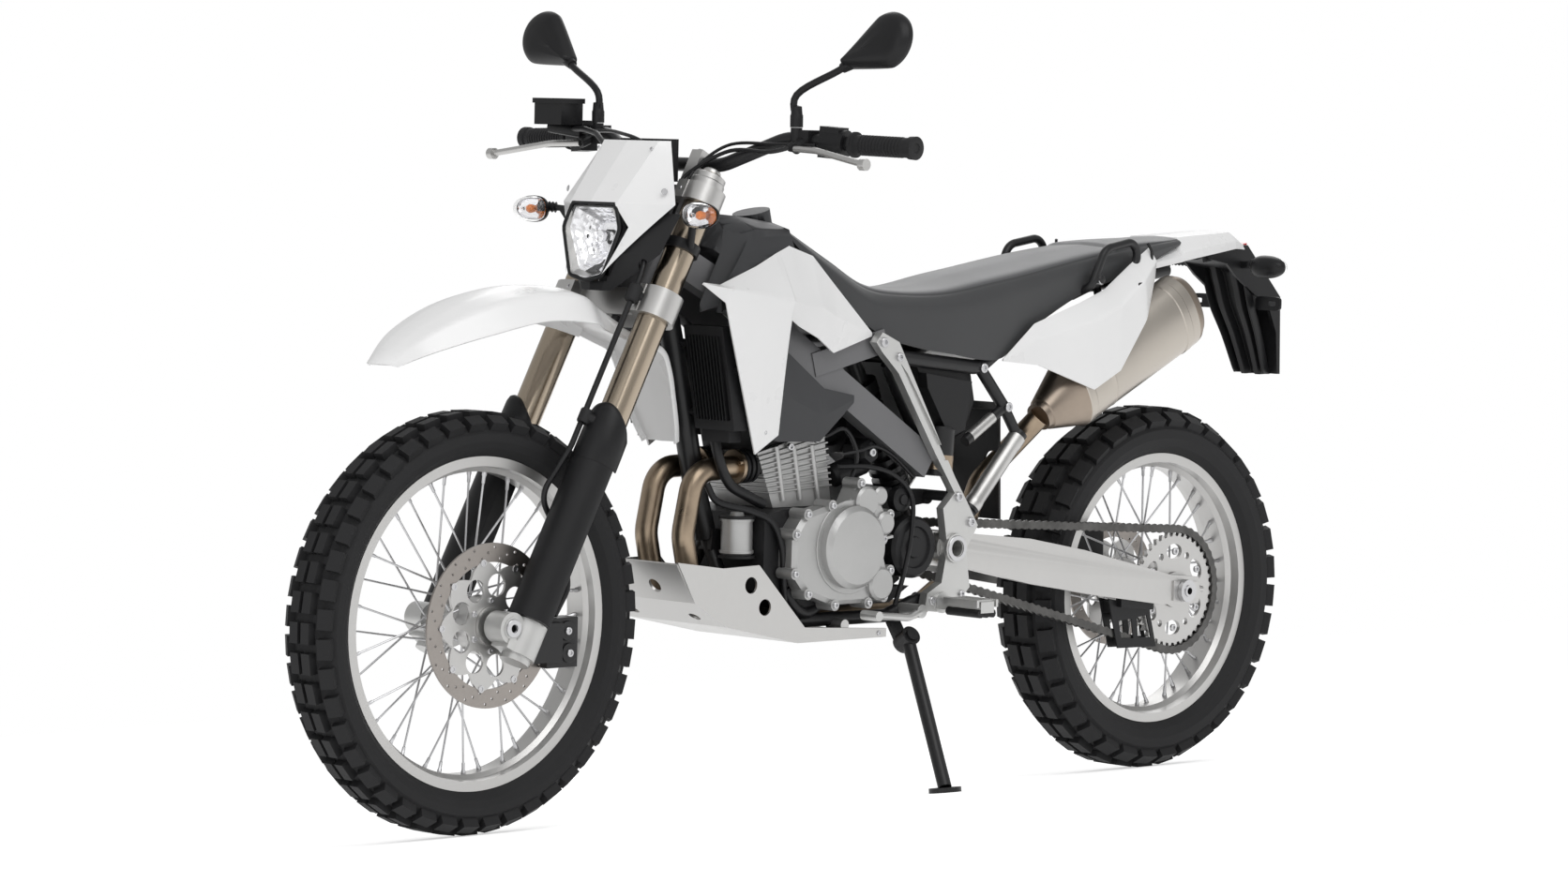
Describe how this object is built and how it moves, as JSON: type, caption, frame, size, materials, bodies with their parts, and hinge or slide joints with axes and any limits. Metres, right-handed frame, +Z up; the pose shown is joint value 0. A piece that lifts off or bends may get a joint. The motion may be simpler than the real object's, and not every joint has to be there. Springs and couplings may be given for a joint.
{
  "type": "dual sport motorcycle",
  "caption": "Dual sport motorcycle on wire wheels with block tyres, parked leaning on its side stand; steering, both wheels and the stand move.",
  "frame": {"origin": "middle of the parked machine's footprint box, on the floor it stands on", "axes": "+X forward, +Y to its left, +Z up; the machine leans 8 degrees to its left about X"},
  "size_m": [2.154, 0.8958, 1.3036],
  "materials": {
    "steel": "turned",
    "frame_grey": "satin paint",
    "black_metal": "satin black paint",
    "cast_alloy": "cast, blasted",
    "engine_black": "matt black",
    "engine_silver": "silver paint",
    "header_bronze": "heat tinted",
    "exhaust_steel": "brushed, warm",
    "radiator_black": "matt black fins",
    "grey_plastic": "fine grain",
    "white_plastic": "gloss",
    "seat_vinyl": "fine grained vinyl",
    "black_plastic": "satin",
    "lamp_clear": "clear, amber bulb behind",
    "satin_alloy": "satin",
    "chain_steel": "oiled",
    "fork_bronze": "bronze anodised",
    "grip_rubber": "ribbed",
    "hose_rubber": "smooth",
    "tyre": "black rubber",
    "disc_steel": "ground"
  },
  "bodies": {
    "root": {"rear_axle": "steel", "frame_spars": "frame_grey", "lower_frame": "black_metal", "side_plates": "cast_alloy", "subframe": "black_metal", "engine_case": "engine_black", "cylinder": "engine_silver", "cylinder_head": "engine_black", "engine_covers": "engine_silver", "exhaust_headers": "header_bronze", "muffler": "exhaust_steel", "radiators": "radiator_black", "tank_cover": "grey_plastic", "shrouds": "white_plastic", "inner_shrouds": "grey_plastic", "seat": "seat_vinyl", "side_covers": "white_plastic", "tail_cover": "white_plastic", "plate_holder": "black_plastic", "rear_lamps": "lamp_clear", "bash_plate": "satin_alloy", "swingarm": "satin_alloy", "chain": "chain_steel", "chain_guide": "black_plastic", "rear_damper": "black_metal", "airbox": "black_plastic", "foot_controls": "cast_alloy", "rear_caliper": "black_metal", "grab_handles": "black_metal"},
    "steering": {"front_axle": "steel", "fork_tubes": "fork_bronze", "fork_lugs": "cast_alloy", "fork_guards": "black_plastic", "lower_clamp": "satin_alloy", "upper_clamp": "satin_alloy", "handlebar": "black_metal", "grips": "grip_rubber", "hand_controls": "black_plastic", "levers": "satin_alloy", "mirrors": "black_plastic", "headlight_mask": "white_plastic", "headlight_lens": "lamp_clear", "lamp_housing": "black_plastic", "front_indicators": "lamp_clear", "front_fender": "white_plastic", "front_caliper": "black_metal", "brake_hose": "hose_rubber", "instrument": "black_plastic"},
    "front_wheel": {"front_tyre": "tyre", "front_rim": "satin_alloy", "front_hub": "satin_alloy", "front_disc": "disc_steel"},
    "rear_wheel": {"rear_tyre": "tyre", "rear_rim": "satin_alloy", "rear_hub": "satin_alloy", "rear_disc": "disc_steel", "rear_sprocket": "satin_alloy"},
    "side_stand": {"side_stand": "black_metal"}
  },
  "joints": [
    {"name": "steering", "type": "hinge", "parent": "root", "child": "steering", "pos_m": [0.70381, -0.11128, 0.29434], "axis": [-0.4664, 0.1231, 0.876], "range_deg": [-38, 38]},
    {"name": "front_wheel_spin", "type": "hinge", "parent": "steering", "child": "front_wheel", "pos_m": [0.756, -0.10745, 0.32159], "axis": [0, 0.9903, -0.1392], "continuous": true},
    {"name": "rear_wheel_spin", "type": "hinge", "parent": "root", "child": "rear_wheel", "pos_m": [-0.769, -0.10926, 0.30871], "axis": [0, 0.9903, -0.1392], "continuous": true},
    {"name": "side_stand_fold", "type": "hinge", "parent": "root", "child": "side_stand", "pos_m": [-0.0915, -0.00475, 0.24757], "axis": [0.1363, 0.8871, 0.4409], "range_deg": [0, 100]}
  ]
}
